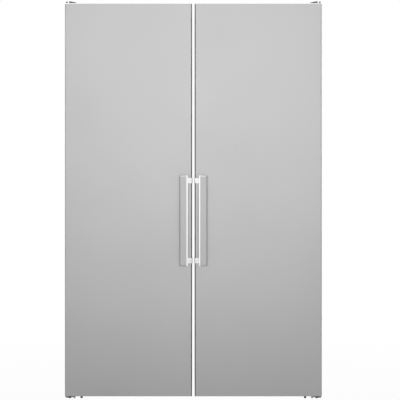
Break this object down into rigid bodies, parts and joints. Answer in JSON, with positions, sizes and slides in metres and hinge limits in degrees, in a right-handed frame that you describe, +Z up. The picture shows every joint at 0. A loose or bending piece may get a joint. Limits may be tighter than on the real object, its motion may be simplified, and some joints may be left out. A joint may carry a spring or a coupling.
{
  "type": "side-by-side fridge freezer",
  "caption": "Tall twin fridge and freezer side by side: steel-fronted doors hinged at the outer sides, bar handles at the middle gap, drawers, glass shelves and door racks inside.",
  "frame": {"origin": "on the floor, under the middle of the pair's box, handles included", "axes": "+X to the right as seen from the front, +Y to the back, +Z up; the doors face -Y"},
  "size_m": [1.203, 0.674, 1.871],
  "materials": {
    "steel_front": "brushed stainless steel",
    "bright_aluminium": "satin, bright",
    "cabinet_paint": "satin silver-grey paint",
    "galvanised": "galvanised sheet",
    "zinc": "zinc plated",
    "black_paint": "black paint",
    "white_liner": "white formed sheet",
    "foam": "hard foam",
    "grey_plastic": "dark grey moulding",
    "black_plastic": "black moulding",
    "white_plastic": "white moulding",
    "clear_plastic": "clear moulding",
    "gasket": "grey soft seal",
    "rubber": "black rubber",
    "glass": "toughened glass",
    "fin_aluminium": "mill finish",
    "light_lens": "frosted lens"
  },
  "bodies": {
    "cabinets": {"freezer_outer_shell": "cabinet_paint", "freezer_back_panel": "galvanised", "freezer_inner_liner": "white_liner", "freezer_foam": "foam", "freezer_base_tray": "galvanised", "freezer_air_duct": "white_plastic", "fridge_outer_shell": "cabinet_paint", "fridge_back_panel": "galvanised", "fridge_inner_liner": "white_liner", "fridge_foam": "foam", "fridge_base_tray": "galvanised", "fridge_air_duct": "white_plastic", "compressors": "black_paint", "compressor_mounts": "rubber", "condensers": "black_paint", "drip_trays": "black_plastic", "evaporators": "fin_aluminium", "fan_motors": "black_plastic", "control_panels": "white_plastic", "interior_lights": "light_lens", "upper_hinges": "zinc", "lower_hinges": "black_paint", "hinge_covers": "grey_plastic", "freezer_shelves": "glass", "fridge_shelves": "glass", "fridge_shelf_trims": "bright_aluminium", "cabinet_screws": "zinc"},
    "freezer_door": {"freezer_door_skin": "steel_front", "freezer_door_foam": "foam", "freezer_door_liner": "white_liner", "freezer_door_gasket": "gasket", "freezer_door_caps": "grey_plastic", "freezer_handle_bar": "steel_front", "freezer_handle_frame": "bright_aluminium"},
    "freezer_drawer_1": {"freezer_drawer_1": "clear_plastic"},
    "freezer_drawer_2": {"freezer_drawer_2": "clear_plastic"},
    "freezer_drawer_3": {"freezer_drawer_3": "clear_plastic"},
    "freezer_drawer_4": {"freezer_drawer_4": "clear_plastic"},
    "freezer_drawer_5": {"freezer_drawer_5": "clear_plastic"},
    "freezer_drawer_6": {"freezer_drawer_6": "clear_plastic"},
    "freezer_fan": {"freezer_fan": "black_plastic"},
    "freezer_button": {"freezer_button": "grey_plastic"},
    "freezer_rear_rollers": {"freezer_rear_rollers": "black_plastic"},
    "freezer_foot_outer": {"freezer_foot_outer": "black_plastic"},
    "freezer_foot_inner": {"freezer_foot_inner": "black_plastic"},
    "fridge_door": {"fridge_door_skin": "steel_front", "fridge_door_foam": "foam", "fridge_door_liner": "white_liner", "fridge_door_gasket": "gasket", "fridge_door_caps": "grey_plastic", "fridge_handle_bar": "steel_front", "fridge_handle_frame": "bright_aluminium", "door_racks": "clear_plastic"},
    "crisper_drawer": {"crisper_drawer": "clear_plastic"},
    "chiller_drawer": {"chiller_drawer": "clear_plastic"},
    "fridge_fan": {"fridge_fan": "black_plastic"},
    "fridge_button": {"fridge_button": "grey_plastic"},
    "fridge_rear_rollers": {"fridge_rear_rollers": "black_plastic"},
    "fridge_foot_outer": {"fridge_foot_outer": "black_plastic"},
    "fridge_foot_inner": {"fridge_foot_inner": "black_plastic"}
  },
  "joints": [
    {"name": "freezer_door_hinge", "type": "hinge", "parent": "cabinets", "child": "freezer_door", "pos_m": [-0.5945, -0.263, 0.9385], "axis": [0, 0, -1], "range_deg": [0, 120]},
    {"name": "freezer_drawer_1_slide", "type": "slide", "parent": "cabinets", "child": "freezer_drawer_1", "axis": [0, -1, 0], "range_m": [0, 0.2]},
    {"name": "freezer_drawer_2_slide", "type": "slide", "parent": "cabinets", "child": "freezer_drawer_2", "axis": [0, -1, 0], "range_m": [0, 0.2]},
    {"name": "freezer_drawer_3_slide", "type": "slide", "parent": "cabinets", "child": "freezer_drawer_3", "axis": [0, -1, 0], "range_m": [0, 0.2]},
    {"name": "freezer_drawer_4_slide", "type": "slide", "parent": "cabinets", "child": "freezer_drawer_4", "axis": [0, -1, 0], "range_m": [0, 0.2]},
    {"name": "freezer_drawer_5_slide", "type": "slide", "parent": "cabinets", "child": "freezer_drawer_5", "axis": [0, -1, 0], "range_m": [0, 0.2]},
    {"name": "freezer_drawer_6_slide", "type": "slide", "parent": "cabinets", "child": "freezer_drawer_6", "axis": [0, -1, 0], "range_m": [0, 0.2]},
    {"name": "freezer_fan_spin", "type": "hinge", "parent": "cabinets", "child": "freezer_fan", "pos_m": [-0.304, 0.2319, 1.6075], "axis": [0, 1, 0], "continuous": true},
    {"name": "freezer_button_press", "type": "slide", "parent": "cabinets", "child": "freezer_button", "axis": [0, 1, 0], "range_m": [0, 0.0015], "stiffness_N_per_m": 400},
    {"name": "freezer_roller_spin", "type": "hinge", "parent": "cabinets", "child": "freezer_rear_rollers", "pos_m": [-0.304, 0.277, 0.014], "axis": [1, 0, 0], "continuous": true},
    {"name": "freezer_foot_outer_turn", "type": "hinge", "parent": "cabinets", "child": "freezer_foot_outer", "pos_m": [-0.5295, -0.207, 0.03], "axis": [0, 0, 1], "continuous": true},
    {"name": "freezer_foot_inner_turn", "type": "hinge", "parent": "cabinets", "child": "freezer_foot_inner", "pos_m": [-0.0785, -0.131, 0.03], "axis": [0, 0, 1], "continuous": true},
    {"name": "fridge_door_hinge", "type": "hinge", "parent": "cabinets", "child": "fridge_door", "pos_m": [0.5945, -0.263, 0.9385], "axis": [0, 0, 1], "range_deg": [0, 120]},
    {"name": "crisper_drawer_slide", "type": "slide", "parent": "cabinets", "child": "crisper_drawer", "axis": [0, -1, 0], "range_m": [0, 0.2]},
    {"name": "chiller_drawer_slide", "type": "slide", "parent": "cabinets", "child": "chiller_drawer", "axis": [0, -1, 0], "range_m": [0, 0.2]},
    {"name": "fridge_fan_spin", "type": "hinge", "parent": "cabinets", "child": "fridge_fan", "pos_m": [0.304, 0.2619, 1.6195], "axis": [0, 1, 0], "continuous": true},
    {"name": "fridge_button_press", "type": "slide", "parent": "cabinets", "child": "fridge_button", "axis": [0, 1, 0], "range_m": [0, 0.0015], "stiffness_N_per_m": 400},
    {"name": "fridge_roller_spin", "type": "hinge", "parent": "cabinets", "child": "fridge_rear_rollers", "pos_m": [0.304, 0.277, 0.014], "axis": [1, 0, 0], "continuous": true},
    {"name": "fridge_foot_outer_turn", "type": "hinge", "parent": "cabinets", "child": "fridge_foot_outer", "pos_m": [0.5295, -0.207, 0.03], "axis": [0, 0, 1], "continuous": true},
    {"name": "fridge_foot_inner_turn", "type": "hinge", "parent": "cabinets", "child": "fridge_foot_inner", "pos_m": [0.0785, -0.131, 0.03], "axis": [0, 0, 1], "continuous": true}
  ],
  "couplings": [
    {"joint": "freezer_drawer_1_slide", "follows": "freezer_door_hinge", "m_per_rad": 0.095},
    {"joint": "freezer_drawer_2_slide", "follows": "freezer_door_hinge", "m_per_rad": 0.095},
    {"joint": "freezer_drawer_3_slide", "follows": "freezer_door_hinge", "m_per_rad": 0.095},
    {"joint": "freezer_drawer_4_slide", "follows": "freezer_door_hinge", "m_per_rad": 0.095},
    {"joint": "freezer_drawer_5_slide", "follows": "freezer_door_hinge", "m_per_rad": 0.095},
    {"joint": "freezer_drawer_6_slide", "follows": "freezer_door_hinge", "m_per_rad": 0.095},
    {"joint": "crisper_drawer_slide", "follows": "fridge_door_hinge", "m_per_rad": 0.095},
    {"joint": "chiller_drawer_slide", "follows": "fridge_door_hinge", "m_per_rad": 0.095}
  ]
}
